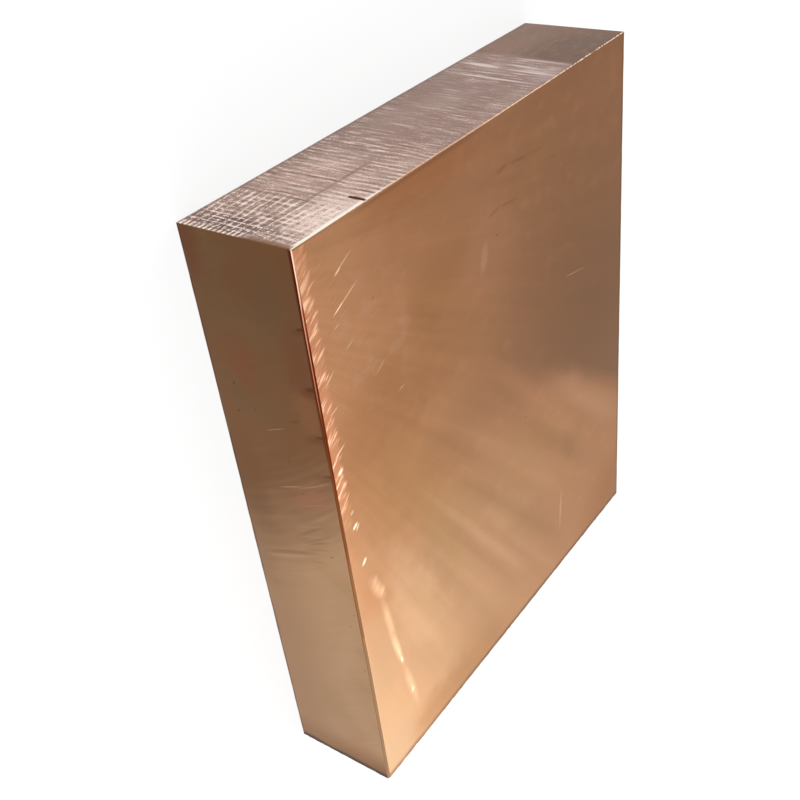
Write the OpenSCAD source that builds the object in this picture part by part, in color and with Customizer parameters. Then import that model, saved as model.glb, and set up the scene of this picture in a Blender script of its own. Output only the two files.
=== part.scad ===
// Bronze plate: a sawn block of thick rolled plate, lying flat.
// The origin is the centre of the underside. X runs between the two smooth
// edges, Y between the two sawn edges and Z through the thickness.

/* [Plate] */
// Length between the two smooth edges, along X
plate_length = 231.8; // [120:0.1:400]
// Width between the two sawn edges, along Y
plate_width = 266.7; // [120:0.1:400]
// Thickness of the rolled plate, along Z
plate_thickness = 50.8; // [25:0.1:80]

/* [Edges] */
// Bevel filed on the upper left edge
filed_bevel = 1.2; // [0.5:0.1:3]
// Bevel left where a sawn face meets a broad face
sawn_bevel = 0.5; // [0.2:0.1:2]
// Bevel of every other edge
smooth_bevel = 0.3; // [0.1:0.1:2]

/* [Saw marks] */
// Distance from one feed mark of the saw to the next
mark_pitch = 2.93; // [1.5:0.01:6]
// Depth of a feed mark at its deepest
mark_depth = 0.14; // [0.05:0.01:0.4]
// Stretch of a sawn face, from its left end, that is marked at full depth
marked_run = 88; // [10:1:400]
// Stretch over which the marks then fade out
fading_run = 66; // [10:1:400]

/* [Saw gouge] */
// Distance of the gouge from the left end
gouge_from_end = 39.5; // [10:0.5:100]
// Distance of the gouge's upper end from the top face
gouge_from_top = 1.4; // [1:0.1:12]
// Height of the gouge
gouge_height = 7; // [2:0.5:10]
// Width of the gouge
gouge_width = 1.6; // [0.5:0.1:3]
// Depth of the gouge
gouge_depth = 0.8; // [0.3:0.1:2]

/* [Hidden] */
bronze = [0.65, 0.46, 0.31];
left = -plate_length / 2;
back = plate_width / 2;
// How far a cutter reaches past what it cuts
overrun = 5;
// The marks stop short of the plate's right end, and die out before it on a
// long plate
last_mark = min(marked_run + fading_run, plate_length - mark_pitch);
mark_count = floor(last_mark / mark_pitch);

// Share of the full depth that a feed mark has at a distance from the left end
function mark_share(distance) =
    max(0, min(1, (marked_run + fading_run - distance) / fading_run));

// The feed marks as shallow vees along the back edge, from left to right
function marked_edge() = [
    for (i = [0 : mark_count - 1], half = [0, 0.5])
        let (distance = (i + half) * mark_pitch)
            [left + distance, back - 2 * half * mark_depth * mark_share(distance)]
];

// The plate seen from above: both sawn edges carry the saw's feed marks
module plan() {
    back_edge = concat(marked_edge(), [[left + last_mark, back], [-left, back]]);
    front_edge = [for (i = [len(back_edge) - 1 : -1 : 0]) [back_edge[i].x, -back_edge[i].y]];
    polygon(concat(back_edge, front_edge));
}

// Three-cornered bar along Z that takes a bevel off an edge at the origin. The
// metal lies on the side of +X and +Y.
module bevel_cutter(bevel, length) {
    reach = bevel + overrun;
    linear_extrude(length + 2 * overrun, center = true)
        polygon([[-overrun, -overrun], [reach, -overrun], [-overrun, reach]]);
}

// Bevel between the back sawn face and a broad face: top is 0 or 1
module sawn_side_bevel(top) {
    translate([0, back, top * plate_thickness])
        mirror([0, 0, top])
            rotate([90, 0, 90])
                mirror([1, 0, 0])
                    bevel_cutter(sawn_bevel, plate_length);
}

// Bevel between the left smooth face and a broad face: top is 0 or 1
module smooth_side_bevel(bevel, top) {
    translate([left, 0, top * plate_thickness])
        mirror([0, 0, top])
            rotate([90, 0, 0])
                bevel_cutter(bevel, plate_width);
}

// Bevel of the upright edge at the back left corner
module upright_bevel() {
    translate([left, back, plate_thickness / 2])
        mirror([0, 1, 0])
            bevel_cutter(smooth_bevel, plate_thickness);
}

// Nick that a saw tooth tore in the back sawn face: a shallow upright slot
// with round ends
module saw_gouge() {
    straight = max(0, gouge_height - gouge_width);
    middle = plate_thickness - gouge_from_top - gouge_height / 2;
    translate([left + gouge_from_end, back - gouge_depth, middle])
        rotate([-90, 0, 0])
            linear_extrude(gouge_depth + overrun)
                union() {
                    square([gouge_width, straight], center = true);
                    for (end = [-1, 1])
                        translate([0, end * straight / 2])
                            circle(gouge_width / 2, $fn = 24);
                }
}

module bronze_plate() {
    color(bronze)
        difference() {
            linear_extrude(plate_thickness)
                plan();
            for (front = [0, 1], top = [0, 1])
                mirror([0, front, 0])
                    sawn_side_bevel(top);
            for (front = [0, 1], right = [0, 1])
                mirror([0, front, 0])
                    mirror([right, 0, 0])
                        upright_bevel();
            for (top = [0, 1])
                mirror([1, 0, 0])
                    smooth_side_bevel(smooth_bevel, top);
            smooth_side_bevel(smooth_bevel, 0);
            smooth_side_bevel(filed_bevel, 1);
            saw_gouge();
        }
}

bronze_plate();
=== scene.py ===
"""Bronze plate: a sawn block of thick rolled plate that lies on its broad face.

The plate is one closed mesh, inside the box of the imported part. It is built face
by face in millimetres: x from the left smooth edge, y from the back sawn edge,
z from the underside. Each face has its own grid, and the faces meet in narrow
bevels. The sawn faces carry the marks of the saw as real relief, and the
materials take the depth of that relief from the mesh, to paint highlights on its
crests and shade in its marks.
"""

import math
from functools import lru_cache, reduce
from itertools import combinations, permutations

import bpy
import numpy as np
from mathutils import Matrix, Vector


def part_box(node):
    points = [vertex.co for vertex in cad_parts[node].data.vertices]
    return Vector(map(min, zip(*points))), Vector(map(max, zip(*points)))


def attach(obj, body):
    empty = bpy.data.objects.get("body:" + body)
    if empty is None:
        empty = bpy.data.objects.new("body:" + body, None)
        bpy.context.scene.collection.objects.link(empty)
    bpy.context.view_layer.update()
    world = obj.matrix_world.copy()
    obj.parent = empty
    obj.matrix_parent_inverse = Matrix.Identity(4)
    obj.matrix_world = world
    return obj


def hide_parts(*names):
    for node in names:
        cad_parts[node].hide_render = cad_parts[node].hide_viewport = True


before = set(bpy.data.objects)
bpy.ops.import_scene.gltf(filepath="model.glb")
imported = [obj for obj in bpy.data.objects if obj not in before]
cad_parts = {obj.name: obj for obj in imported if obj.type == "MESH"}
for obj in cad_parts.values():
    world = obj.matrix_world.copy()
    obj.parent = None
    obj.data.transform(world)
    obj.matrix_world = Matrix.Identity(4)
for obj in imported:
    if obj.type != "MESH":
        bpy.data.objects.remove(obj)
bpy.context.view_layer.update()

NODE = "bronze_plate"
MM = 0.001
LOW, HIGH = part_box(NODE)
LENGTH, WIDTH, THICKNESS = ((HIGH - LOW) / MM)[:]

# --- sizes of the relief, in millimetres ---

# The feed marks run across the thickness and the cross marks along the face. The
# cross marks end in teeth at the left edge, one of them at the height TOOTH_AT.
FEED_PITCH = 2.93
CROSS_PITCH = 3.1
TOOTH_PITCH = 2.17
TOOTH_AT = 14.7
MARK_DEPTH = 0.12
# The mean level of a sawn face lies this share of a mark's depth below its flat.
FLAT_SHARE = 0.9
# The gouge's middle in x and z, and its width and height
GOUGE_AT = (39.5, 45.9)
GOUGE_SIZE = (1.6, 7.0)
GOUGE_DEPTH = 0.8
# Its walls lie between these shares of half its width, and of half its height.
WALLS_ACROSS = (0.75, 1.1)
WALLS_ALONG = (0.88, 1.04)
# How far the top face slopes down beside the filed edge
RIDGE_DROP = 0.12

# Spacing of the grids of the faces, and of the corners along a bevel
SAWN_STEP = 0.45
HIDDEN_SAWN_STEP = 0.9
BROAD_STEP = 2.5
EDGE_STEP = 2.0
RIM_STEP = 1.5
# A grid ends this far from the edges of its face, past every bevel.
MARGIN = 1.65
# Corners this near along an edge count as one place.
SAME_PLACE = 0.02
# Nothing on a sawn face lies deeper than this.
DEEPEST = 1.2
# Facets that meet at more degrees than this keep a sharp edge between them.
SHARP_ANGLE = 35


def add_object(name, data):
    added = bpy.data.objects.new(name, data)
    bpy.context.scene.collection.objects.link(added)
    return added


# --- noise ---


def smooth(t):
    t = np.clip(t, 0, 1)
    return t * t * (3 - 2 * t)


def fade(value, start, end):
    """1 before start, 0 after end, smooth between them."""
    return 1 - smooth((value - start) / (end - start))


@lru_cache(maxsize=None)
def noise_table(seed):
    return np.random.default_rng(seed).uniform(-1, 1, (256, 256))


def noise(u, v, cell, seed):
    """Smooth value noise from -1 to 1. cell is the size of a lump along u and v."""
    a, b = np.broadcast_arrays(np.asarray(u, float) / cell[0], np.asarray(v, float) / cell[1])
    i, j = np.floor(a).astype(int), np.floor(b).astype(int)
    s, t = smooth(a - i), smooth(b - j)
    table = noise_table(seed)

    def at(di, dj):
        return table[(i + di) % 256, (j + dj) % 256]

    low = at(0, 0) * (1 - s) + at(1, 0) * s
    high = at(0, 1) * (1 - s) + at(1, 1) * s
    return low * (1 - t) + high * t


def wave(phase):
    """Cross-section of a row of marks: above 0 in a groove, below 0 on the crest between."""
    return 1.1 * (0.5 + 0.5 * np.cos(2 * np.pi * phase)) ** 1.6 - 0.45


def sharp(phase):
    """Cross-section of a row of marks with narrow crests and wide grooves."""
    return 0.53 - 1.3 * (0.5 - 0.5 * np.cos(2 * np.pi * phase)) ** 2.4


def weave(a, b):
    """Two rows of marks where the higher one shows: their crests cross as even lines."""
    return -np.log(np.exp(-4 * a) + np.exp(-4 * b)) / 4 + 0.17


def line(place, at, half):
    """1 on a line, 0 at half its width from it."""
    return np.clip(1 - np.abs(place - at) / half, 0, 1)


# --- relief of each face: depth below the flat, in millimetres ---


def saw_relief(x, z, seed):
    """Feed marks across the thickness, cross marks near the left end, fine scores."""
    wander = 0.08 * noise(x, z, (40, 12), seed) + 0.08 * noise(x, z, (9, 6), seed + 1)
    phase = x / FEED_PITCH - 0.5 + wander
    each = noise(np.round(phase) * 1.37, z, (1, 10), seed + 2)
    share = 0.16 + 0.54 * fade(x, 45, 104) + 0.3 * fade(x, 10, 14) + 0.2 * fade(x, 26, 34)
    share = share * fade(x, 178, 190) * (1 + 0.55 * fade(-z, -36, -30) * (1 - fade(x, 32, 44)))
    strength = np.clip(0.55 + 0.75 * each, 0.05, 1.3) * share
    near = fade(x, 28, 34)
    feed = strength * (near * sharp(phase) + (1 - near) * wave(phase))

    # The cross marks spread a little as they run to the right.
    cross_phase = (z - 24.8 - 0.043 * x) / (CROSS_PITCH + 0.0125 * x) + 0.5
    cross_phase += 0.12 * noise(x, z, (10, 8), seed + 3)
    each = noise(x, np.round(cross_phase) * 1.37, (7, 1), seed + 4)
    strength = np.clip(0.95 + 0.5 * each, 0.35, 1.4) * near
    strength = strength * (0.8 + 0.2 * fade(z, 32, 37)) * (1 - 0.3 * fade(x, 7, 14) - 0.3 * fade(x, 3, 6))
    cross = strength * sharp(cross_phase)
    # They end at the left in a row of teeth, which lie closer.
    teeth = 0.9 * fade(x, 2.5, 5) * fade(z, 27, 32) * wave((z - TOOTH_AT) / TOOTH_PITCH + 0.5)
    # Chatter between the feed marks, and scores across the thickness
    chatter = 0.14 * noise(x, z, (0.9, 1.1), seed + 7) * fade(x, 60, 140)
    scores = 0.22 * noise(x, z, (0.9, 9), seed + 5) * fade(x, 178, 190)
    depth = near * weave(feed, cross) + (1 - near) * (feed + cross)
    depth = depth + teeth + chatter + scores

    stop_line = line(x, 31.2, 1.0) * fade(z, 33, 36)
    long_line = line(z, 31.2 + 0.25 * noise(x, 0, (9, 1), seed + 6), 1.0)
    worn = 0.55 + 0.45 * noise(x, z, (6, 6), seed + 8)
    lines = worn * np.maximum(stop_line, long_line * fade(np.abs(x - 38), 20, 34))
    depth = depth + (0.75 - depth) * lines
    return MARK_DEPTH * np.maximum(FLAT_SHARE + depth, 0.02)


def gouge_relief(x, z):
    """The slot that a torn tooth left near the upper edge of the back face."""
    across = np.abs(x - GOUGE_AT[0] + 0.2 * noise(0, z, (1, 2), 40)) / (GOUGE_SIZE[0] / 2)
    along = np.abs(z - GOUGE_AT[1]) / (GOUGE_SIZE[1] / 2)
    return GOUGE_DEPTH * fade(across, *WALLS_ACROSS) * fade(along, *WALLS_ALONG)


def back_relief(x, y, z):
    return np.maximum(saw_relief(x, z, 10), gouge_relief(x, z))


def front_relief(x, y, z):
    return saw_relief(x, z, 60)


def smooth_relief(x, y, z):
    """The smooth edges are true to about a tenth of a millimetre."""
    return 0.05 * (0.5 + 0.5 * noise(y, z, (45, 30), 90))


def underside_relief(x, y, z):
    return 0.04 * (0.5 + 0.5 * noise(x, y, (60, 60), 95))


def top_relief(x, y, z):
    """The strip beside the filed edge slopes down a little from a faint ridge."""
    ridge = 7.5 + 0.17 * np.maximum(0, y - 125) + 0.8 * noise(y, 0, (9, 1), 97)
    slope = np.clip((ridge - x) / ridge, 0, 1)
    return underside_relief(x, y, z) + RIDGE_DROP * slope * (1 + 0.25 * noise(y, 0, (6, 1), 98))


# --- width of each bevel, on both of its faces ---


def lane(face):
    """Keeps the noise of one face's rims apart from that of the next."""
    return 1 + 4 * list(FACES).index(face)


def plain_bevel(s, face):
    return 0.18 + 0.08 * noise(s, lane(face), (6, 1), 120)


def sawn_top_bevel(s, face):
    """Wide down the sawn face at the left end, and hardly there at the right."""
    fine = 0.12 * noise(s, lane(face), (1.6, 1), 132) * (1 - fade(s, 135, 165))
    rough = fine + 0.04 * noise(s, lane(face), (3.5, 1), 131)
    if face == "top":
        return 0.2 + 0.1 * fade(s, 60, 130) + 0.25 * fade(s, 35, 75) + 0.6 * rough
    return 0.42 + 0.27 * fade(s, 50, 130) + 0.18 * fade(s, 20, 65) + rough


def notched_bevel(s, face):
    """The cross marks of the saw run out here as a row of notches."""
    phase = (s - TOOTH_AT) / TOOTH_PITCH
    cut = line(phase, np.round(phase), 0.4) * fade(s, 27, 32)
    rough = 0.05 * noise(s, lane(face), (1.6, 1), 135)
    if face == "left":
        return 0.1 + rough
    return 0.6 + 0.6 * cut + rough


def filed_bevel(s, face):
    rough = 0.05 * noise(s, lane(face), (24, 1), 141)
    if face == "top":
        return 1.3 - 0.65 * fade(s, 110, 200) + rough
    return 1.15 - 0.35 * (1 - fade(s, 110, 200)) + rough


def ragged_bevel(s, face):
    """Burr of the saw along the lower end of the plate."""
    return 0.28 + 0.14 * noise(s, lane(face), (2.2, 1), 145) + 0.08 * noise(s, lane(face), (0.8, 1), 146)


# --- the closed mesh ---

SIZE = (LENGTH, WIDTH, THICKNESS)


class Face:
    """One side of the block, across an axis: the near side, or the far one."""

    def __init__(self, axis, far, relief, step):
        self.axis, self.far, self.relief, self.step = axis, far, relief, step
        self.flat = SIZE[axis] if far else 0.0
        self.inward = -1 if far else 1
        self.outward = np.zeros(3)
        self.outward[axis] = -self.inward


FACES = {
    "top": Face(2, True, top_relief, BROAD_STEP),
    "underside": Face(2, False, underside_relief, 3 * BROAD_STEP),
    "back": Face(1, False, back_relief, SAWN_STEP),
    "front": Face(1, True, front_relief, HIDDEN_SAWN_STEP),
    "left": Face(0, False, smooth_relief, EDGE_STEP),
    "right": Face(0, True, smooth_relief, 2 * EDGE_STEP),
}
SLOTS = (*FACES, "edge", "sawn_edge", "filed_edge")

# Places where a grid gets more lines: the walls of the gouge
GOUGE_WALLS = {
    axis: [middle + side * size / 2 * share for side in (-1, 1) for share in walls]
    for axis, middle, size, walls in zip((0, 2), GOUGE_AT, GOUGE_SIZE, (WALLS_ACROSS, WALLS_ALONG))
}

# Bevels that aren't plain: the width on each face, and the finish
BEVELS = {
    ("top", "back"): (sawn_top_bevel, "sawn_edge"),
    ("top", "left"): (filed_bevel, "filed_edge"),
    ("back", "left"): (notched_bevel, "sawn_edge"),
    ("top", "front"): (ragged_bevel, "edge"),
    ("front", "left"): (ragged_bevel, "edge"),
}
PLAIN = (plain_bevel, "edge")


class Surface:
    """Collects the corners and facets of one closed mesh."""

    def __init__(self):
        self.points = []
        self.facets = []
        self.slots = []

    def add(self, points):
        first = len(self.points)
        self.points.extend(points)
        return list(range(first, len(self.points)))

    def facet(self, corners, slot, outward):
        a, b, c = (self.points[i] for i in corners[:3])
        if np.dot(np.cross(b - a, c - a), outward) < 0:
            corners = corners[::-1]
        self.facets.append(corners)
        self.slots.append(SLOTS.index(slot))

    def grid(self, index, slot, flip):
        """Fills a grid of corners with four-sided facets."""
        corners = np.stack([index[:-1, :-1], index[1:, :-1], index[1:, 1:], index[:-1, 1:]], -1)
        corners = corners.reshape(-1, 4)
        if flip:
            corners = corners[:, ::-1]
        self.facets.extend(corners.tolist())
        self.slots.extend([SLOTS.index(slot)] * len(corners))

    def zip_rows(self, row_a, row_b, axis, slot, outward):
        """Fills the strip between two rows of corners that run along one axis."""
        place_a, place_b = (
            [self.points[k][axis] for k in row] + [math.inf] for row in (row_a, row_b)
        )
        i = j = 0
        while i + j < len(row_a) + len(row_b) - 2:
            # The row whose next corner comes first takes a step, or both do.
            lead = place_b[j + 1] - place_a[i + 1]
            step_a, step_b = int(lead > -SAME_PLACE), int(lead < SAME_PLACE)
            corners = row_a[i:i + 1 + step_a] + row_b[j:j + 1 + step_b][::-1]
            self.facet(corners, slot, outward)
            i, j = i + step_a, j + step_b


def stations(length, step, more=()):
    """Places from MARGIN to length - MARGIN, about a step apart, and the ones in more."""
    count = max(2, round((length - 2 * MARGIN) / step)) + 1
    even = np.linspace(MARGIN, length - MARGIN, count)
    for place in np.clip(more, MARGIN, length - MARGIN):
        even[np.abs(even - place).argmin()] = place
    return np.sort(even)


def bevel_of(name, other):
    return BEVELS.get((name, other)) or BEVELS.get((other, name)) or PLAIN


def bevel_width(name, other, s):
    """Width of the bevel between two faces, as it is seen on the first of them."""
    return bevel_of(name, other)[0](s, name)


def rim_points(name, other, axis, s):
    """Corners of one face's rim beside another, at the distances s along their edge."""
    face, beside = FACES[name], FACES[other]
    points = np.zeros((len(s), 3))
    points[:, axis] = s
    points[:, face.axis] = face.flat
    points[:, beside.axis] = beside.flat
    inset = beside.relief(*points.T) + bevel_width(name, other, s)
    points[:, face.axis] += face.inward * face.relief(*points.T)
    points[:, beside.axis] += beside.inward * inset
    return points


def build_surface():
    surface = Surface()
    grids = {}
    for name, face in FACES.items():
        u_axis, v_axis = [k for k in range(3) if k != face.axis]
        more = GOUGE_WALLS if name == "back" else {}
        us = stations(SIZE[u_axis], face.step, more.get(u_axis, ()))
        vs = stations(SIZE[v_axis], face.step, more.get(v_axis, ()))
        place = [face.flat] * 3
        place[u_axis], place[v_axis] = np.meshgrid(us, vs, indexing="ij")
        place[face.axis] = face.flat + face.inward * face.relief(*place)
        points = np.stack(place, -1)
        index = np.array(surface.add(list(points.reshape(-1, 3)))).reshape(points.shape[:2])
        grids[name] = (u_axis, index)
        # u, v and the face's own axis make a right-handed set, except on axis 1.
        surface.grid(index, name, flip=(face.axis == 1) == face.far)
    close_corners(surface, build_rims(surface, grids))
    return surface


def face_side(grids, name, other):
    """The row of one face's grid that lies beside another face."""
    u_axis, index = grids[name]
    end = -1 if FACES[other].far else 0
    return (index[end, :] if FACES[other].axis == u_axis else index[:, end]).tolist()


def build_rims(surface, grids):
    """Rims of all faces and the bevels between them. Returns each rim's corners."""
    corner_of = {}
    rims = {}
    for name, other in permutations(FACES, 2):
        face, beside = FACES[name], FACES[other]
        if face.axis == beside.axis:
            continue
        axis = 3 - face.axis - beside.axis
        places = stations(SIZE[axis], min(face.step, beside.step, RIM_STEP))
        row = [rim_corner(surface, corner_of, name, other, axis, False)]
        row += surface.add(list(rim_points(name, other, axis, places)))
        row += [rim_corner(surface, corner_of, name, other, axis, True)]
        rims[name, other] = row
        surface.zip_rows(face_side(grids, name, other), row, axis, name, face.outward)
    for name, other in combinations(FACES, 2):
        if (name, other) in rims:
            axis = 3 - FACES[name].axis - FACES[other].axis
            outward = FACES[name].outward + FACES[other].outward
            slot = bevel_of(name, other)[1]
            surface.zip_rows(rims[name, other], rims[other, name], axis, slot, outward)
    return corner_of


def rim_corner(surface, corner_of, name, other, axis, far):
    """The corner of one face's rim at one end of its side beside another."""
    third = next(n for n, face in FACES.items() if face.axis == axis and face.far == far)
    key = (name, frozenset((other, third)))
    if key not in corner_of:
        trio = (name, other, third)
        point = np.zeros(3)
        for n in trio:
            point[FACES[n].axis] = FACES[n].flat
        moved = point.copy()
        for n in trio:
            face = FACES[n]
            deep = float(face.relief(*point))
            if n != name:
                # The bevel between the other two faces cuts this corner off as well.
                last = next(k for k in trio if k not in (name, n))
                own = float(bevel_width(name, n, point[3 - FACES[name].axis - face.axis]))
                cut = float(bevel_width(last, n, point[FACES[name].axis])) / 2
                deep += max(own, cut)
            moved[face.axis] += face.inward * deep
        corner_of[key] = surface.add([moved])[0]
    return corner_of[key]


def close_corners(surface, corner_of):
    """One three-cornered facet at each corner of the block."""
    for trio in dict.fromkeys(frozenset((name, *pair)) for name, pair in corner_of):
        corners = [corner_of[n, trio - {n}] for n in sorted(trio)]
        surface.facet(corners, "sawn_edge", sum(FACES[n].outward for n in trio))


def mark_depths(points):
    """Depth of each corner in the marks of a sawn face: 0 on the flat, 1 in a full mark."""
    below = np.minimum(points[:, 1], WIDTH - points[:, 1])
    return np.where(below < DEEPEST, below / MARK_DEPTH - FLAT_SHARE, 0)


def build_plate():
    surface = build_surface()
    mesh = bpy.data.meshes.new("plate")
    points = np.array(surface.points)
    # The mesh's y axis points the other way, so the facets turn round.
    metres = np.array((LOW.x, HIGH.y, LOW.z)) + points * (MM, -MM, MM)
    mesh.from_pydata(metres.tolist(), [], [facet[::-1] for facet in surface.facets])
    mesh.polygons.foreach_set("material_index", surface.slots)
    mesh.polygons.foreach_set("use_smooth", [slot < len(FACES) for slot in surface.slots])
    mesh.set_sharp_from_angle(angle=math.radians(SHARP_ANGLE))
    depth = mesh.attributes.new("mark_depth", "FLOAT", "POINT")
    depth.data.foreach_set("value", mark_depths(points))
    mesh.update()
    return add_object("plate", mesh)


# --- nodes of a material ---


def linear(colour):
    """A colour given as it looks on a screen, 0 to 255, in linear light."""
    parts = [v / 255 for v in colour]
    return [p / 12.92 if p <= 0.04045 else ((p + 0.055) / 1.055) ** 2.4 for p in parts]


class Output:
    """What a node gives. Sums, differences and products of it come from nodes too."""

    def __init__(self, nodes, socket):
        self.nodes, self.socket = nodes, socket

    def __add__(self, other):
        return self.nodes.math("ADD", self, other)

    def __radd__(self, other):
        return self.nodes.math("ADD", other, self)

    def __sub__(self, other):
        return self.nodes.math("SUBTRACT", self, other)

    def __rsub__(self, other):
        return self.nodes.math("SUBTRACT", other, self)

    def __mul__(self, other):
        return self.nodes.math("MULTIPLY", self, other)

    def step(self, start, end, low=0, high=1):
        """Runs smoothly from low at start to high at end."""
        run = (self, start, end, low, high)
        return self.nodes.output("MapRange", *run, interpolation_type="SMOOTHSTEP")

    def sway(self, reach):
        """Turns noise from 0 to 1 into a swing that is reach wide, about 0."""
        return (self - 0.5) * reach


class Nodes:
    """Makes the nodes of a material or a world."""

    def __init__(self, owner):
        owner.use_nodes = True
        self.tree = owner.node_tree
        self.tree.nodes.clear()

    def plug(self, socket, value):
        """value is an output, a number, or a colour from 0 to 255."""
        if isinstance(value, Output):
            self.tree.links.new(value.socket, socket)
        elif socket.type == "RGBA" and len(value) == 3:
            socket.default_value = (*linear(value), 1)
        else:
            socket.default_value = value

    def node(self, kind, *values, **settings):
        """A new node with these values in its first inputs.

        A setting with a capital is another input, and any other is a property.
        """
        node = self.tree.nodes.new("ShaderNode" + kind)
        for name, value in settings.items():
            if name[0].isupper():
                self.plug(node.inputs[name], value)
            else:
                setattr(node, name, value)
        for socket, value in zip(node.inputs, values):
            self.plug(socket, value)
        return node

    def output(self, kind, *values, port=0, **settings):
        """One output of a new node."""
        return Output(self, self.node(kind, *values, **settings).outputs[port])

    def math(self, operation, *values):
        return self.output("Math", *values, operation=operation)

    def most(self, *values):
        return reduce(lambda a, b: self.math("MAXIMUM", a, b), values)


class Graph(Nodes):
    """The nodes of one kind of bronze. Its colour is laid on in coats."""

    def __init__(self, name):
        self.material = bpy.data.materials.new(name)
        super().__init__(self.material)
        self.shader = self.node("BsdfPrincipled", Metallic=1)
        self.node("OutputMaterial", Output(self, self.shader.outputs[0]))
        place = self.node("SeparateXYZ", self.output("TexCoord", port="Object"))
        x, y, z = (Output(self, socket) for socket in place.outputs)
        # Millimetres from the left, back and lower edges of the plate
        self.x = (x - LOW.x) * (1 / MM)
        self.y = (HIGH.y - y) * (1 / MM)
        self.z = (z - LOW.z) * (1 / MM)
        self.colour = None

    def noise(self, u, v, size, seed, detail=2):
        """Noise from 0 to 1 whose lumps have the given size along u and v."""
        place = self.output("CombineXYZ", u * (1 / size[0]), v * (1 / size[1]), seed)
        return self.output("TexNoise", place, Scale=1, Detail=detail, port="Fac")

    def patch(self, u, v, ellipse, core, strength=1):
        """Rises from 0 at the rim of an ellipse to its strength, at core of the way in.

        The ellipse is given by its centre, half sizes and turn in degrees.
        """
        u0, v0, half_u, half_v, turn = ellipse
        move = ((u0, v0, 0), (0, 0, math.radians(turn)), (half_u, half_v, 1))
        place = self.output("CombineXYZ", u, v)
        place = self.output("Mapping", place, *move, vector_type="TEXTURE")
        height = self.output("TexGradient", place, gradient_type="SPHERICAL", port="Fac")
        return height.step(0, core, 0, strength)

    def strokes(self, u, v, lines, core=0.7):
        """Thin straight marks: each from one place to another, its half width and strength."""
        total = 0
        for u0, v0, u1, v1, width, strength in lines:
            turn = math.degrees(math.atan2(v1 - v0, u1 - u0))
            half = math.hypot(u1 - u0, v1 - v0) / 2
            ellipse = ((u0 + u1) / 2, (v0 + v1) / 2, half, width, turn)
            total = self.most(self.patch(u, v, ellipse, core, strength), total)
        return total

    def mix(self, share, a, b):
        node = self.node("Mix", share, data_type="RGBA")
        self.plug(node.inputs[6], a)
        self.plug(node.inputs[7], b)
        return Output(self, node.outputs[2])

    def lay(self, share, coat):
        """Lays another colour over the material's own."""
        self.colour = self.mix(share, self.colour, coat)

    def shade(self, amount):
        """Makes the colour lighter or darker: an amount of 1 leaves it as it is."""
        self.colour = self.output("VectorMath", self.colour, operation="SCALE", Scale=amount)

    def ramp(self, value, table):
        """Runs smoothly from each colour of a table to the next one."""
        colour = table[0][1]
        for (start, _), (end, other) in zip(table, table[1:]):
            colour = self.mix(value.step(start, end), colour, other)
        return colour

    def zones(self, u, v, colour, table):
        """Lays soft elliptical zones of other colours over a colour."""
        for *ellipse, strength, other in table:
            colour = self.mix(self.patch(u, v, ellipse, 0.8, strength), colour, other)
        return colour

    def teeth(self):
        """1 on the teeth that the cross marks end in, 0 between them."""
        unlike = self.noise(self.z, 0, (1.9, 1), 17)
        even = (self.z - TOOTH_AT) * (1 / TOOTH_PITCH)
        phase = even + unlike * 0.7 - 0.35
        tooth = self.math("COSINE", phase * (2 * math.pi)).step(-0.1, 0.85)
        return tooth * self.z.step(32, 28) * unlike.step(0.36, 0.54, 0.45, 1)

    def bump(self, height, depth):
        """depth is how deep, in millimetres, a height of 1 is."""
        bumpy = self.output("Bump", Height=height, Strength=1, Distance=depth * MM)
        self.plug(self.shader.inputs["Normal"], bumpy)

    def finish(self, roughness):
        self.plug(self.shader.inputs["Base Color"], self.colour)
        self.plug(self.shader.inputs["Roughness"], roughness)
        return self.material


# --- the broad faces ---

# Soft zones on the top face, partly tarnish and partly painted reflection: lighter and
# darker patches where the surroundings are reflected. In millimetres from the left and
# back edges: centre, half sizes, turn in degrees, strength and colour. All tables of
# zones are written so, and all tables of strokes like TOP_SCRATCHES.
TOP_ZONES = (
    (44, 80, 84, 38, -16, 0.6, (146, 99, 61)), (62, 26, 50, 40, 0, 0.35, (146, 98, 64)),
    (74, 4, 56, 13, 0, 0.5, (154, 96, 56)), (76, 50, 28, 22, 0, 0.35, (140, 92, 56)),
    (112, 52, 30, 32, 0, 0.4, (170, 120, 90)), (13, 156, 16, 22, 0, 0.75, (166, 114, 77)),
    (40, 122, 50, 34, 20, 0.6, (156, 112, 70)), (78, 122, 34, 24, 20, 0.5, (146, 104, 72)),
    (66, 160, 40, 24, 50, 0.4, (154, 118, 76)), (38, 188, 70, 22, 64, 0.38, (208, 166, 126)),
    (112, 188, 30, 14, 42, 0.4, (186, 144, 106)), (54, 262, 76, 24, 0, 0.8, (143, 99, 63)),
    (9, 258, 26, 36, 0, 0.85, (158, 127, 97)), (4, 215, 14, 40, 0, 0.6, (160, 126, 94)),
    (180, 190, 18, 14, 20, 0.5, (132, 98, 64)), (145, 120, 20, 18, 0, 0.4, (164, 118, 84)),
    (180, 152, 16, 12, 0, 0.3, (176, 132, 104)), (230, 262, 60, 44, 0, 0.8, (143, 91, 54)),
    (86, 250, 40, 30, 0, 0.3, (150, 108, 72)),
)
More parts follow.
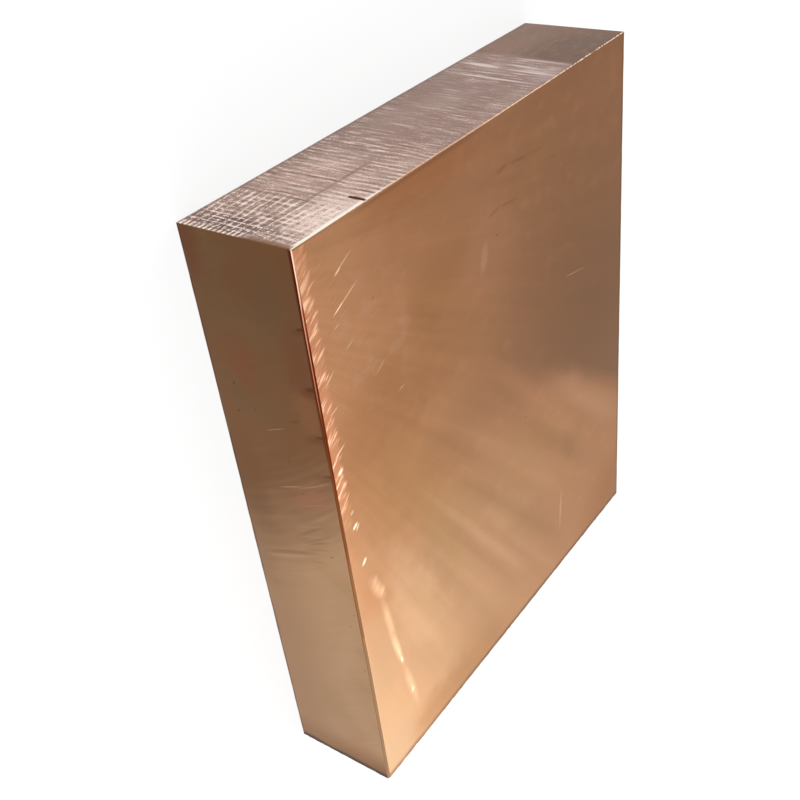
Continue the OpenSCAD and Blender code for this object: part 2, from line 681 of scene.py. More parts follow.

# Streaks of the fan, lighter and darker: painted reflection along the linish lines.
# Angle in degrees where the reach is 250 mm, half width, lean over 100 mm of reach,
# reach from and to, strength and colour
TOP_RAYS = (
    (35.6, 2.2, 1.6, 265, 345, 0.65, (178, 130, 100)), (37.6, 2.4, 4, 200, 320, 0.4, (174, 123, 88)),
    (41.2, 1.8, 1, 240, 320, 0.5, (142, 100, 66)), (44.6, 2.2, 1.5, 185, 300, 0.3, (176, 132, 98)),
    (49.8, 2, 0, 200, 330, 0.5, (144, 104, 68)), (52.4, 0.9, 0, 260, 335, 0.25, (184, 140, 106)),
    (54.2, 1.1, 0, 180, 290, 0.35, (188, 145, 112)), (55.9, 1.1, 0, 190, 290, 0.4, (152, 110, 74)),
    (58.6, 1.6, 0, 210, 300, 0.3, (182, 140, 104)), (64.5, 2.4, 0, 200, 290, 0.3, (160, 118, 82)),
    (26, 2, 0, 110, 190, 0.2, (170, 122, 84)), (46.8, 1.6, 0, 120, 200, 0.2, (148, 106, 70)),
)

# Scratches on the top face, painted pale: partly fresh metal, partly painted highlight where they catch
# the light. From, to, half width and strength
TOP_SCRATCHES = (
    (12.9, 31.4, 21.5, 27.4, 0.45, 1), (14.9, 30.5, 29.6, 23.7, 0.4, 0.5),
    (16.9, 17.9, 21.7, 15.6, 0.5, 0.8), (15.2, 18.2, 29.1, 11.9, 0.4, 0.4),
    (29.8, 65.2, 38.3, 60.4, 0.35, 0.25), (16.7, 46.6, 22.8, 43.7, 0.35, 0.3),
    (42.6, 78.5, 46.7, 77.7, 0.35, 0.35), (12.4, 36.1, 16.7, 34.6, 0.35, 0.35),
    (1.5, 84.1, 9.9, 80.2, 0.35, 0.9), (172, 94, 190, 98, 0.5, 0.2), (104, 62, 110, 45, 3.6, 0.09),
    (166, 212, 162, 244, 1.3, 0.16), (183, 96, 194, 99, 0.5, 0.12),
)

# Strokes of the file along the left edge, painted pale: partly bright filed metal, partly painted
# highlight
FILE_STROKES = (
    (2.9, 6.2, 7, 3.4, 0.9, 0.5), (3.2, 12.3, 4.8, 10.7, 0.6, 0.5), (3, 16.1, 8.3, 14, 0.4, 0.6),
    (1.1, 24.4, 6.9, 19.7, 1.1, 0.6), (3, 26.8, 7.6, 24.7, 0.7, 0.6), (1.9, 31.3, 6.5, 29.2, 0.6, 0.6),
    (1.7, 37.2, 6.7, 34.9, 0.5, 0.6), (1.1, 43.5, 7.8, 38.7, 0.8, 0.8),
    (0.8, 51.2, 6.3, 47.6, 0.9, 0.9), (2.6, 54.7, 10.5, 49.5, 0.5, 0.6),
    (1.7, 64.3, 6.6, 60.7, 0.8, 0.6), (3.2, 66.3, 9.3, 63.9, 0.4, 0.6),
)

# Painted glints: highlights painted into the colour where the file ran off, along the ridge of the
# sloping strip
GLINTS = (
    (2.2, 91.8, 6, 89.2, 1.2, 1), (4.4, 93.6, 4.8, 87, 0.4, 0.4), (5.2, 112.6, 7.5, 110.4, 0.8, 0.35),
    (5, 119.8, 8.7, 117.2, 1.1, 0.85), (6.6, 121.6, 9.6, 118, 0.5, 0.6),
    (6.6, 139.8, 10.3, 136.4, 1.2, 0.85), (11.6, 153.4, 14.4, 149, 2.2, 0.12),
    (14, 162.8, 18.2, 158, 1.6, 0.14), (19.6, 197, 21.3, 207, 0.9, 0.22),
    (20.8, 203.5, 21.9, 209.5, 0.9, 0.65), (24.6, 232.4, 27, 228.8, 0.8, 0.5),
    (24.9, 225, 25.7, 233, 0.9, 0.25),
)
# Soft painted reflection along the same ridge
GLOW = (
    (9, 146, 18, 168, 4.2, 0.42), (14, 158, 20.2, 200, 3.2, 0.4), (15.4, 176, 23, 216, 2.8, 0.55),
    (18, 184, 22.6, 211, 1.8, 0.45), (21, 206, 29, 246, 3.4, 0.32),
)

# Dark specks and smears: stains in the surface
TOP_STAINS = (
    (116, 47.2, 118.4, 48.4, 0.5, 0.8), (132, 147.4, 134.2, 148.8, 0.5, 0.7),
    (118, 22.6, 130, 21.4, 1.3, 0.38), (127, 21.6, 146, 24.6, 1.2, 0.36),
    (119.5, 23.2, 124.5, 23, 0.9, 0.35), (140, 24, 160, 25.6, 1.3, 0.16),
    (110, 38.4, 122, 36.4, 1.2, 0.34), (118, 36.6, 137, 39.2, 1.1, 0.28), (152, 30, 172, 34, 1.6, 0.12),
    (34, 35.2, 36.5, 34.4, 0.5, 0.5),
)

FAN_FROM = (-50, -5)
# The file and the first scratches ran up to the right at these angles.
FILE_ANGLE = 38
SCRATCH_ANGLE = 22
# Colour of the reflections at a low angle
SPECULAR_TINT = (1, 0.9, 0.78, 1)


def broad_material(name, seed, marked):
    """Rolled and linished bronze. The lines fan out from beyond one corner."""
    g = Graph(name)
    over_x = g.x - FAN_FROM[0]
    over_y = g.y - FAN_FROM[1]
    angle = g.math("ARCTAN2", over_y, over_x) * math.degrees(1)
    reach = g.math("SQRT", over_x * over_x + over_y * over_y)
    wide = g.noise(angle, reach, (7, 190), seed)
    medium = g.noise(angle, reach, (1.7, 110), seed + 3, 3)
    fine = g.noise(angle, reach, (0.3, 45), seed + 6, 3)
    cloud = g.noise(g.x, g.y, (40, 40), seed + 9, 4)
    mottle = g.noise(g.x, g.y, (9, 7), seed + 12, 3)

    # Darker to the right and more golden toward the front: a painted gradient of the reflected light.
    upper = g.mix(g.x.step(5, 190), (175, 125, 89), (147, 101, 70))
    lower = g.mix(g.x.step(15, 225), (169, 130, 96), (159, 110, 76))
    g.colour = g.mix((g.y + cloud.sway(40)).step(115, 190), upper, lower)
    # Tarnish wanders between olive and pink.
    g.lay(cloud.step(0.52, 0.72, 0, 0.3), (160, 118, 70))
    g.lay(mottle.step(0.5, 0.75, 0, 0.22), (178, 122, 98))
    if marked:
        # Zones of tarnish and painted reflection, then the painted shade and streaks of the fan.
        g.colour = g.zones(g.x + cloud.sway(36), g.y + mottle.sway(14), g.colour, TOP_ZONES)
        add_top_rays(g, angle, reach)
    g.shade(1 + wide.sway(0.14) + medium.sway(0.2) + fine.sway(0.06) + mottle.sway(0.1))
    g.shader.inputs["Specular Tint"].default_value = SPECULAR_TINT
    height = add_top_marks(g, fine) if marked else fine
    add_darker_rims(g, mottle, marked)
    g.bump(height, 0.003)
    return g.finish(0.34 + medium.sway(0.1) + mottle.sway(0.06))


def add_top_rays(g, angle, reach):
    """Painted shade on the corner beyond one line of the fan, a painted reflection of a dim part of the
    surroundings, and painted streaks of reflection beside it.
    """
    past = (reach - 250) * 0.01
    edge = reach.step(190, 275, 47, 35)
    shade = angle.step(5, 28) * (angle - past).step(edge, 32.2) * reach.step(130, 290)
    g.lay(shade, (120, 82, 58))
    for at, half, lean, start, end, strength, other in TOP_RAYS:
        off = g.math("ABSOLUTE", angle - past * lean - at)
        within = reach.step(start - 30, start + 30) * reach.step(end + 25, end - 25)
        g.lay(off.step(half, 0) * within * strength, other)


def add_darker_rims(g, mottle, marked):
    """Dark lines along the front and right edges, and a dull one along the back."""
    ragged = mottle.sway(1.6)
    front = (g.y + ragged).step(WIDTH - 4, WIDTH - 1.2, 0, 0.9)
    right = (g.x + ragged).step(LENGTH - 3, LENGTH - 0.8, 0, 0.45)
    g.lay(g.most(front, right), (104, 68, 44))
    if marked:
        g.lay(g.y.step(3.2, 0.6) * g.x.step(22, 44) * g.x.step(125, 95) * 0.75, (134, 88, 62))


def along_lines(g, degrees):
    """Distances across and along lines that run up to the right at an angle."""
    cos, sin = math.cos(math.radians(degrees)), math.sin(math.radians(degrees))
    return g.x * sin + g.y * cos, g.x * cos - g.y * sin


def add_hairs(g):
    """Fine pale and dark hairs near the back left corner, and rusty flecks along the back."""
    across, along = along_lines(g, SCRATCH_ANGLE)
    combed = g.noise(across, along, (0.8, 11), 37, 3)
    tufts = g.noise(g.x, g.y, (7, 7), 38)
    worn = g.patch(g.x, g.y, (14, 40, 64, 62, 0), 0.7) * tufts.step(0.42, 0.62)
    pale = g.noise(g.x, g.y, (11, 8), 36, 3).step(0.5, 0.66, 0, 0.24)
    g.lay(pale * g.patch(g.x, g.y, (32, 48, 40, 42, 0), 0.6), (178, 138, 112))
    g.lay(combed.step(0.57, 0.72, 0, 0.3) * worn, (198, 152, 116))
    g.lay(combed.step(0.43, 0.28, 0, 0.25) * worn, (142, 96, 62))
    flecks = g.noise(g.x, g.y, (2, 1.1), 39, 1).step(0.7, 0.8, 0, 0.6)
    g.lay(flecks * g.patch(g.x, g.y, (62, 14, 60, 24, 0), 0.6), (190, 106, 62))


def add_top_marks(g, height):
    """The hairs, the filed strip, the scratches, the painted glow and glints, and the stains of the top
    face.

    Returns the height with the marks in it.
    """
    add_hairs(g)
    across, along = along_lines(g, FILE_ANGLE)
    lines = g.noise(across, along, (0.46, 9), 33, 3)
    bold = g.noise(across, along, (2.6, 14), 35)
    filed = add_filed_strip(g, across, lines, bold)
    # The scratches are painted pale: partly fresh metal, partly painted highlight.
    scratches = g.strokes(g.x, g.y, TOP_SCRATCHES)
    g.lay(scratches, (250, 214, 176))
    glow = g.strokes(g.x, g.y, GLOW, core=1)
    hairy = bold.step(0.2, 0.6, 0.6, 1) * lines.step(0.35, 0.6, 0.7, 1)
    # Painted reflection: the soft glow along the ridge.
    g.lay(glow * hairy, (252, 208, 166))
    # Painted glints: highlights on the ridge.
    glints = g.strokes(g.x, g.y, GLINTS) * lines.step(0.3, 0.55, 0.35, 1)
    g.lay(glints, (255, 240, 212))
    g.lay(g.strokes(g.x, g.y, TOP_STAINS) * 0.9, (112, 70, 42))
    return height - scratches * 4 + filed * lines * 2.5


def add_filed_strip(g, across, lines, bold):
    """Pale strip of file strokes along the left edge; its brightest strokes are partly painted highlight.
    Returns where it lies.
    """
    lengths = g.noise(across, 0, (2.2, 1), 31)
    ragged = 5.4 + lengths.sway(8) + lines.sway(3)
    filed = (g.x - ragged).step(1, -1) * g.y.step(122, 98)
    g.lay(filed * 0.75, (194, 130, 96))
    # The bright strokes are partly filed metal and partly painted highlight.
    bright = filed * (lines * 0.55 + bold * 0.55).step(0.55, 0.67)
    bright = g.most(bright, g.strokes(g.x, g.y, FILE_STROKES))
    g.lay(bright * g.y.step(4, 26, 0.35, 0.9), (250, 204, 164))
    g.lay(filed * lines.step(0.44, 0.28) * 0.45, (146, 88, 56))
    return filed


# --- the sawn faces ---

# Pale streaks across the back face along the saw marks, partly paler metal and partly
# painted highlight on their crests, in millimetres from the left and lower edges
SAWN_STREAKS = (
    (157.4, 54, 160.2, -2, 1.2, 0.8), (169.4, 54, 170.8, 22, 1.5, 0.75),
    (171.6, 48, 171.8, 31, 0.7, 0.7), (174, 46, 176.4, 21, 1.4, 0.7), (171.2, 26, 173.2, 0, 2.3, 0.85),
    (183.6, 55, 184.8, 18, 1.6, 0.75), (163.2, 42, 164.4, 6, 0.6, 0.3), (167, 30, 168.4, 12, 0.7, 0.35),
    (37.4, 29, 37.8, 13, 0.7, 0.7), (53.8, 48, 54, 32, 0.5, 0.6), (56.3, 30, 56.9, 2, 0.7, 0.65),
    (61.8, 31, 62.6, 3, 0.5, 0.65), (72, 27, 72.6, 1, 0.5, 0.65), (76.8, 49, 77, 28, 0.6, 0.6),
    (80, 48, 80.4, 30, 0.5, 0.6), (79.8, 32, 80.6, 8, 0.7, 0.7), (86.4, 47, 86.8, 33, 0.6, 0.5),
    (101.2, 50, 101.6, 37, 0.6, 0.6), (100.8, 31, 101.2, 13, 0.7, 0.65),
    (112.8, 48, 114, 34, 0.5, 0.45), (133, 30, 133.4, 18, 0.6, 0.45), (140.6, 24, 141.2, 11, 0.7, 0.45),
)
# Brighter and darker parts of the back face
SAWN_ZONES = (
    (25, 45, 30, 20, 0, 0.85, (230, 205, 192)), (7, 20, 10, 34, 0, 0.92, (102, 72, 61)),
    (21, 16, 13, 18, 0, 0.4, (136, 104, 90)), (66, 46, 30, 14, 0, 0.5, (192, 162, 148)),
    (104, 0, 140, 17, 0, 0.85, (137, 107, 93)), (8, 28, 9, 12, 0, 0.35, (150, 118, 102)),
    (5, 41, 8, 14, 0, 0.55, (164, 132, 118)), (25, 46, 12, 8, 0, 0.4, (240, 218, 208)),
    (36, 29, 30, 8, 0, 0.35, (158, 130, 118)), (62, 20, 12, 12, 0, 0.4, (204, 176, 162)),
    (104, 14, 24, 16, 0, 0.35, (160, 134, 118)), (130, 22, 20, 12, 0, 0.4, (166, 143, 131)),
    (127, 40, 9, 8, 0, 0.3, (146, 104, 88)), (150, 40, 8, 16, 0, 0.25, (142, 110, 94)),
    (135, 47, 40, 7, 0, 0.35, (172, 142, 130)), (172, 26, 12, 24, 0, 0.35, (170, 145, 136)),
    (170, 46, 14, 9, 0, 0.5, (192, 166, 160)),
)
# Painted shade in the gouge and just beside it
GOUGE_SHADE = ((39.6, 42.6, 39.4, 49.2, 1.8, 0.9),)
# Smooth patches, where the marks hardly show: centre, half sizes and turn
CALM_PATCHES = (
    (104, 14, 17, 20, 0), (134, 12, 28, 17, 0), (92, 28, 12, 8, 0), (148, 34, 10, 14, 0),
)
# Stains of the end that the saw hardly marked
WORN_ZONES = (
    (226, 26, 14, 30, 0, 0.45, (130, 88, 62)), (190, 42, 6, 14, 0, 0.5, (110, 72, 52)),
    (208, 40, 12, 9, 20, 0.3, (106, 80, 58)), (196, 10, 14, 12, 0, 0.45, (150, 104, 82)),
)


def sawn_material(name, seed, marked):
    """Saw-cut bronze: pale on the burrs and crests, partly painted highlight; darker in the marks, which
    is painted shade; brown where they die out.
    """
    g = Graph(name)
    depth = g.output("Attribute", attribute_name="mark_depth", port="Fac")
    cloud = g.noise(g.x, g.z, (12, 12), seed, 3)
    beads = g.noise(g.x, g.z, (0.42, 0.55), seed + 3)
    scores = g.noise(g.x, g.z, (0.6, 8), seed + 6, 3)
    rough = torn_grain(g, beads, scores, seed)
    plain = (g.x + g.z * 0.06 + cloud.sway(6)).step(184, 191)
    clear = 1 - calm_share(g) if marked else 1

    g.colour = g.mix(g.x.step(40, 90), (178, 146, 132), (151, 118, 104))
    g.lay(g.x.step(110, 160), (147, 115, 103))
    if marked:
        g.colour = g.zones(g.x, g.z, g.colour, SAWN_ZONES)
    height = depth + rough * 3.2
    # Painted highlight on the crests of the marks, partly burnished metal.
    lit = height.step(-0.02, -0.62, 0, 0.92) * g.x.step(120, 50, 0.75, 1)
    lit = lit * plain.step(0, 1, 1, 0.1) * clear
    g.lay(lit, g.mix(g.x.step(36, 26), (250, 224, 212), (255, 234, 223)))
    # Painted shade in the marks, darker where they are deep.
    dull = height.step(0.15, 0.95, 0, 0.8) * plain.step(0, 1, 1, 0.3) * clear
    g.lay(dull, (112, 80, 69))
    if marked:
        # Pale streaks: partly paler metal, partly painted highlight on the crests.
        streaks = g.strokes(g.x, g.z, SAWN_STREAKS) * rough.step(-0.12, 0.08, 0.45, 1)
        g.lay(streaks, (236, 219, 211))
        g.lay(g.strokes(g.x, g.z, GOUGE_SHADE), (118, 80, 64))
    g.lay(plain * 0.95, worn_colour(g, cloud, seed, marked))
    g.shade(1 + cloud.sway(0.14))
    add_sawn_rims(g, rough, beads, cloud)
    # Painted shade at the bottom of the gouge, darker where it is deeper
    g.lay(depth.step(1.2, 2.4), (124, 78, 60))
    g.bump(scores * 0.7 + beads * 0.5, 0.02)
    return g.finish(0.42 + cloud.sway(0.1) + dull * 0.1)


def torn_grain(g, beads, scores, seed):
    """Fine unevenness of the torn metal, about 0."""
    hatch = g.noise(g.x, g.z, (6, 0.55), seed + 9).sway(g.x.step(36, 26))
    grain = beads * 0.5 + scores * 0.45 + hatch * 0.4 - 0.475
    return grain * g.x.step(60, 130, 1.35, 1.2) * g.x.step(44, 32, 1, 1.15)


def calm_share(g):
    """0.5 in the middle of the smooth patches, 0 outside them."""
    return g.most(*(g.patch(g.x, g.z, ellipse, 0.7, 0.5) for ellipse in CALM_PATCHES))


def worn_colour(g, cloud, seed, marked):
    """Brown of the right end, which the saw hardly marked."""
    worn = g.mix(g.z.step(12, 36), (132, 97, 72), (106, 68, 38))
    worn = g.mix(cloud.step(0.4, 0.7, 0, 0.5), worn, (122, 92, 62))
    smears = g.noise(g.x, g.z, (6, 3.2), seed + 15, 3)
    worn = g.mix(smears.step(0.5, 0.72, 0, 0.5), worn, (142, 110, 90))
    worn = g.mix(smears.step(0.46, 0.28, 0, 0.45), worn, (96, 62, 42))
    return g.zones(g.x, g.z, worn, WORN_ZONES) if marked else worn


def add_sawn_rims(g, rough, beads, cloud):
    """The pale burr and teeth, partly painted highlight, the brown left end and the dull lower edge."""
    # The burr along the upper edge is wide at the left end and narrow after it. It is painted pale:
    # partly bright burr, partly painted highlight along the edge.
    reach = g.x.step(35, 65, 2.4, 1.3)
    below = THICKNESS - (g.z + rough * 2)
    burr = below.step(reach, reach - 0.9) * g.x.step(38, 62, 0.95, 0.5) * g.x.step(150, 70)
    g.lay(burr, g.mix(g.x.step(30, 70), (255, 250, 236), (240, 200, 178)))
    # The left end is rubbed brown above the cross marks.
    brown = (g.x + rough * 3).step(3.4, 1.2) * g.z.step(27, 33) * 0.9
    ragged = g.x + rough * 4 + cloud.sway(4)
    lengths = g.noise(g.z, 0, (1.3, 1), 23, 1).sway(5)
    # Pale teeth: partly burnished metal, partly painted highlight on their crests.
    g.lay(g.teeth() * (ragged + lengths).step(3.6, 1.6) * 0.95, (255, 238, 224))
    g.lay(brown, (140, 102, 70))
    g.lay((g.z + beads.sway(2)).step(2.6, 0.6, 0, 0.6), (120, 90, 72))


# --- the smooth edges ---

# Stains and specks on the left face, in millimetres from the back and lower edges
LEFT_STAINS = (
    (30.8, 43.6, 27, 56, 1.1, 0.9), (32.6, 41, 27, 57, 2.2, 0.3), (54.8, 42.6, 51, 56, 1.8, 0.8),
    (57, 39, 52, 57, 3.6, 0.35), (74.8, 43, 71.6, 56, 1.3, 0.7), (77, 38, 72.6, 57, 2.8, 0.3),
    (92.6, 43, 88.6, 56, 1.2, 0.6), (94.6, 38, 89, 57, 2.6, 0.25), (60.4, 9.8, 62.2, 9.8, 0.9, 0.7),
    (72.8, 9.1, 74.4, 9.1, 0.8, 0.7), (70.5, 17.2, 70.9, 18.6, 0.6, 0.6),
    (161, 48.3, 162.2, 48.3, 0.6, 0.6), (169, 45.2, 170.2, 44.6, 0.5, 0.5),
    (194, 48.2, 195, 48.2, 0.6, 0.6), (134, 40.6, 132.2, 43.4, 0.6, 0.4),
    (71.3, 33, 68.6, 41, 0.8, 0.3), (89.4, 31, 91.2, 28.6, 0.7, 0.3),
)
LEFT_SCRATCHES = (
    (79.5, 19.5, 74.3, 32.6, 0.4, 0.35), (106.2, 19.5, 99.9, 36, 0.45, 0.5),
    (103.4, 30, 94.2, 49, 0.5, 0.4), (100.4, 37, 92.6, 50, 0.4, 0.4), (112, 30, 104.5, 47, 0.4, 0.3),
    (124, 26, 117, 44, 0.45, 0.3), (129, 24, 122, 46, 0.7, 0.25), (147.6, 5, 136, 34, 1.5, 0.35),
    (122, 46, 128, 37, 0.7, 0.3),
)
# Soft dark streaks where the dark part of the face gives way to the tan part
LEFT_STREAKS = (
    (115.5, 44.5, 131.7, 21.5, 1.1, 0.4), (119, 48, 133, 26, 0.8, 0.3), (124, 44.5, 132, 29, 0.7, 0.4),
    (128.5, 44, 136, 26, 0.8, 0.25), (132, 40.5, 148, -2, 1.7, 0.45), (137.5, 39, 141, 28, 0.7, 0.2),
    (97, 47, 101.5, 39, 0.9, 0.35), (89.5, 34, 91.5, 28.6, 0.7, 0.35),
    (103.8, 35.5, 105, 31.4, 0.6, 0.5),
)
# Tarnish of the left face
LEFT_ZONES = (
    (53, 17, 16, 11, 0, 0.5, (122, 68, 42)), (108, 36, 18, 8, -50, 0.55, (156, 100, 74)),
    (5, 2, 20, 10, 0, 0.6, (98, 56, 32)), (24, 34, 22, 14, 0, 0.4, (98, 76, 50)),
    (66, 26, 26, 9, 10, 0.35, (106, 82, 52)), (106, 6, 36, 12, 0, 0.5, (112, 72, 38)),
    (124, 10, 20, 10, 0, 0.25, (118, 86, 56)), (46, 43, 26, 8, 0, 0.45, (110, 62, 38)),
    (150, 3, 26, 10, 0, 0.4, (136, 104, 76)), (228, 26, 16, 14, 0, 0.4, (158, 124, 82)),
    (250, 36, 18, 12, 0, 0.4, (164, 118, 78)), (186, 40, 30, 8, -20, 0.3, (184, 148, 112)),
    (63, 44, 12, 9, 0, 0.4, (142, 92, 58)),
)


def smooth_material(name, seed, marked):
    """Smooth edge of the plate: dark brown that gives way to tan, partly tarnish and partly a painted
    reflection of a dark part of the surroundings.
    """
    g = Graph(name)
    # The streaks curve: they rise to the right, more steeply near the top face.
    bow = g.y + g.z * 0.25 + g.z * g.z * 0.006
    wide = g.noise(bow, g.z, (16, 60), seed, 2)
    medium = g.noise(bow, g.z, (4.5, 45), seed + 3, 3)
    fine = g.noise(bow, g.z, (0.7, 30), seed + 6, 3)
    cloud = g.noise(g.y, g.z, (22, 22), seed + 9, 3)

    # Dark brown toward the back end, tan toward the front: partly tarnish, partly painted reflection.
    dark = g.mix(g.y.step(10, 90), (107, 72, 44), (119, 80, 48))
    dark = g.mix(cloud.step(0.45, 0.7, 0, 0.6), dark, (108, 80, 50))
    light = g.mix(g.z.step(4, 36), (161, 122, 89), (177, 138, 102))
    light = g.mix(cloud.step(0.45, 0.75, 0, 0.5), light, (160, 126, 86))
    ragged = bow + wide.sway(26) + medium.sway(20)
    g.colour = g.mix(ragged.step(102, 162), dark, light)
    burnt = g.y.step(WIDTH - 20, WIDTH - 2, 0, 0.9) * g.z.step(8, 40, 0.6, 1)
    g.lay(burnt, (132, 86, 44))
    if marked:
        g.colour = g.zones(g.y + cloud.sway(24), g.z + medium.sway(12), g.colour, LEFT_ZONES)
        g.lay(g.strokes(g.y, g.z, LEFT_STREAKS), (118, 84, 56))
    g.shade(1 + medium.sway(0.16) + fine.sway(0.1))
    add_smooth_rims(g, cloud)
    height = fine
    if marked:
        scratches = g.strokes(g.y, g.z, LEFT_SCRATCHES)
        g.lay(scratches, (186, 140, 106))
        g.lay(g.strokes(g.y, g.z, LEFT_STAINS), (90, 40, 16))
        height = height - scratches * 3
    g.bump(height, 0.004)
    return g.finish(0.36 + medium.sway(0.14))


def add_smooth_rims(g, cloud):
    """Dark lines along the front and lower edges, and a burnt lip below the filed edge."""
    frayed = cloud.sway(3)
    end = (g.y + frayed).step(WIDTH - 4, WIDTH - 1.2)
    foot = (g.z + frayed).step(1.8, 0.2, 0, 0.5)
    lip = g.z.step(THICKNESS - 2.4, THICKNESS - 1.5, 0, 0.95) * g.y.step(100, 50)
    g.lay(g.most(end, foot), (64, 42, 30))
    g.lay(lip, (84, 34, 14))


# --- the bevels ---


def edge_material():
    """Plain edges: dull and dark, darker in patches."""
    g = Graph("plain_edge")
    patchy = g.noise(g.x + g.y, g.z, (3, 3), 201, 3)
    g.colour = g.mix(patchy.step(0.35, 0.65), (84, 56, 40), (124, 88, 62))
    return g.finish(0.4 + patchy * 0.1)


def sawn_edge_material():
    """Burr of the saw, painted bright at the left end and in dashes towards the right: partly bright
    burr, partly painted highlight along the edge.

    The side of the bevel that turns away from the sawn face is as dull as the
    face beside it.
    """
    g = Graph("sawn_edge")
    dashes = g.noise(g.x + g.y, g.z, (1.5, 30), 211, 2)
    # The pale colours are partly bright burr, partly painted highlight along the edge.
    bright = g.mix(g.x.step(24, 70), (255, 249, 230), (255, 218, 184))
    bright = g.mix(g.x.step(150, 185), bright, (255, 232, 204))
    dull = g.mix(g.x.step(20, 70), (255, 246, 226), (232, 188, 154))
    dull = g.mix(g.x.step(165, 190), dull, (162, 118, 90))
    g.colour = g.mix(dashes.step(0.46, 0.52), dull, bright)
    # The upright edge is brown above the cross marks.
    upright = g.z.step(THICKNESS - 0.9, THICKNESS - 1.3)
    g.lay(upright * (1 - g.teeth()) * 0.85, (150, 112, 90))
    g.lay(upright * g.z.step(25, 31), (120, 82, 56))
    over = (THICKNESS - g.z - g.y * 2).step(0.15, -0.1) * g.x.step(130, 80)
    g.lay(over * (1 - upright), (176, 124, 90))
    g.lay((g.x - g.y * 1.6).step(0.15, -0.25) * upright, (112, 78, 54))
    return g.finish(0.26 + dashes * 0.16)


# Colours along the filed bevel, each with the distance from the back edge where it
# is reached: the side by the top face, the middle, and the side by the left face
FILED_INNER = (
    (8, (172, 120, 92)), (24, (112, 54, 28)), (42, (80, 28, 8)), (85, (94, 40, 16)),
    (115, (118, 68, 36)), (145, (128, 86, 56)), (200, (106, 78, 53)),
)
FILED_MIDDLE = (
    (8, (250, 204, 178)), (28, (206, 142, 112)), (48, (182, 112, 82)), (72, (104, 50, 22)),
    (100, (122, 68, 34)), (140, (110, 68, 42)), (200, (104, 75, 52)),
)
FILED_OUTER = (
    (20, (70, 24, 8)), (60, (90, 38, 14)), (100, (104, 56, 28)), (140, (118, 76, 48)),
    (210, (138, 105, 77)),
)


def filed_edge_material():
    """The filed bevel: pale near the back, a painted highlight, then burnt maroon, then tan."""
    g = Graph("filed_edge")
    side = THICKNESS - g.z - g.x * 2.2
    streak = g.noise(g.y, side, (7, 0.8), 221, 3)
    place = g.y + streak.sway(16)
    inner, middle, outer = (g.ramp(place, t) for t in (FILED_INNER, FILED_MIDDLE, FILED_OUTER))
    band = side - place.step(8, 32, -0.5, 0.05)
    g.colour = g.mix(band.step(-0.12, 0.12), inner, middle)
    g.lay(band.step(0.6, 0.85), outer)
    return g.finish(0.34 + streak * 0.12)


# --- stage, light and camera ---

FLOOR_SIZE = 12
FLOOR_COLOUR = (0.9, 0.9, 0.9, 1)
FLOOR_GLOW = 0.8

# The studio is brightest toward one side, and dimmest opposite it.
WORLD_TOWARD = (-0.75, -0.65, 0)
WORLD_DIM, WORLD_BRIGHT = 0.68, 1.8
WORLD_TURN = 0.6

KEY_AT = (0.1, -1, 0.6)
KEY_SIZE = (0.8, 1.2)
KEY_WATTS = 4.2
RIM_AT = (0.75, 0.6, 0.42)
RIM_SIZE = (0.35, 0.35)
RIM_WATTS = 1.6

CAMERA_AT = Vector((-0.33313, 0.27765, 0.2653))
CAMERA_FORWARD = Vector((0.63098, -0.59086, -0.50274))
CAMERA_RIGHT = Vector((0.56382, -0.09587, 0.82031))
CAMERA_LENS = 48.112
CAMERA_SENSOR = 36
CAMERA_SHIFT = (-0.025, 0.05)
CAMERA_NEAR = 0.01


def build_floor():
    """A pale floor that glows to the camera and in reflections, and keeps the shadow."""
    mesh = bpy.data.meshes.new("floor")
    half = FLOOR_SIZE / 2
    square = ((-half, -half), (half, -half), (half, half), (-half, half))
    corners = [(x, y, LOW.z) for x, y in square]
    mesh.from_pydata(corners, [], [(0, 1, 2, 3)])
    material = bpy.data.materials.new("floor")
    g = Nodes(material)
    seen, glossy, through = (
        g.output("LightPath", port=f"Is {ray} Ray") for ray in ("Camera", "Glossy", "Transmission")
    )
    glowing = g.most(seen * FLOOR_GLOW, glossy, through)
    diffuse = g.output("BsdfDiffuse", FLOOR_COLOUR)
    g.node("OutputMaterial", g.output("MixShader", glowing, diffuse, g.output("Emission")))
    mesh.materials.append(material)
    add_object("floor", mesh)


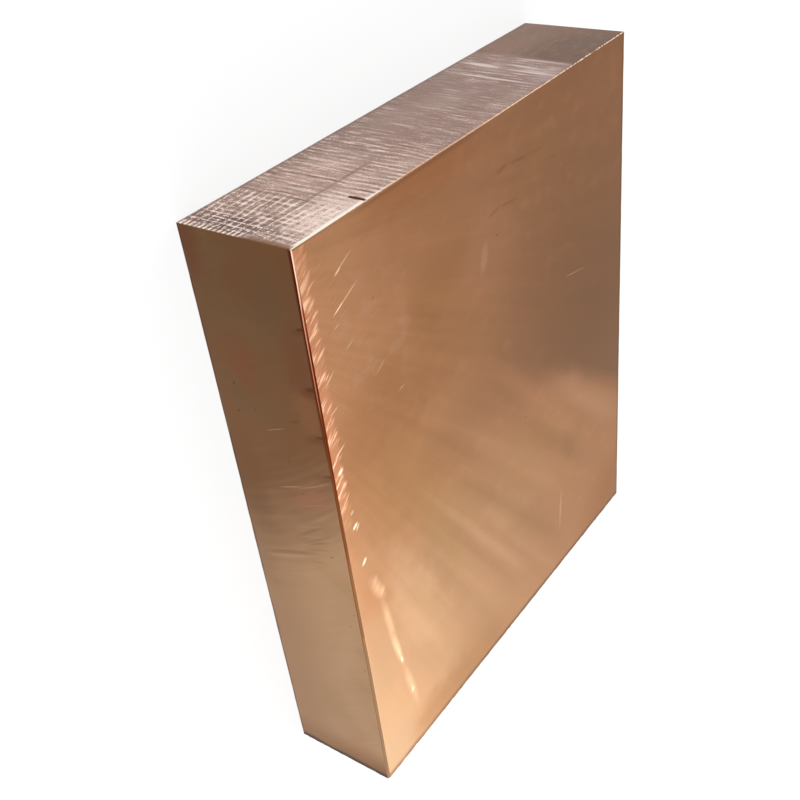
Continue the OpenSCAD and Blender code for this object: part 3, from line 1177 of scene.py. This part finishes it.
def build_world():
    """A white studio that is brighter on one side than on the other."""
    world = bpy.data.worlds.new("studio")
    bpy.context.scene.world = world
    g = Nodes(world)
    direction = g.output("TexCoord", port="Generated")
    toward = g.output("VectorMath", direction, WORLD_TOWARD, operation="DOT_PRODUCT", port="Value")
    strength = toward.step(-WORLD_TURN, WORLD_TURN, WORLD_DIM, WORLD_BRIGHT)
    g.node("OutputWorld", g.output("Background", (1, 1, 1, 1), strength))


def add_softbox(name, at, size, watts):
    lamp = bpy.data.lights.new(name, "AREA")
    lamp.shape = "RECTANGLE"
    lamp.size, lamp.size_y = size
    lamp.energy = watts
    box = add_object(name, lamp)
    box.location = at
    box.rotation_euler = (-Vector(at)).to_track_quat("-Z", "Y").to_euler()
    box.visible_camera = False


def build_camera():
    camera = bpy.data.cameras.new("camera")
    camera.lens = CAMERA_LENS
    camera.sensor_width = CAMERA_SENSOR
    camera.shift_x, camera.shift_y = CAMERA_SHIFT
    camera.clip_start = CAMERA_NEAR
    holder = add_object("camera", camera)
    back = -CAMERA_FORWARD.normalized()
    right = (CAMERA_RIGHT - back * CAMERA_RIGHT.dot(back)).normalized()
    up = back.cross(right)
    turn = Matrix((right, up, back)).transposed().to_4x4()
    holder.matrix_world = Matrix.Translation(CAMERA_AT) @ turn
    bpy.context.scene.camera = holder


# --- assembly ---


def build_materials():
    """One material for each of SLOTS, in that order."""
    return (
        broad_material("rolled_top", 1, marked=True),
        broad_material("rolled_underside", 51, marked=False),
        sawn_material("sawn_back", 101, marked=True),
        sawn_material("sawn_front", 131, marked=False),
        smooth_material("left_tarnish_and_reflection", 161, marked=True),
        smooth_material("right_tarnish_and_reflection", 181, marked=False),
        edge_material(),
        sawn_edge_material(),
        filed_edge_material(),
    )


plate = build_plate()
for material in build_materials():
    plate.data.materials.append(material)
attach(plate, "root")
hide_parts(NODE)

build_floor()
build_world()
add_softbox("softbox_key", KEY_AT, KEY_SIZE, KEY_WATTS)
add_softbox("softbox_rim", RIM_AT, RIM_SIZE, RIM_WATTS)
build_camera()
bpy.context.scene.view_settings.view_transform = "Standard"
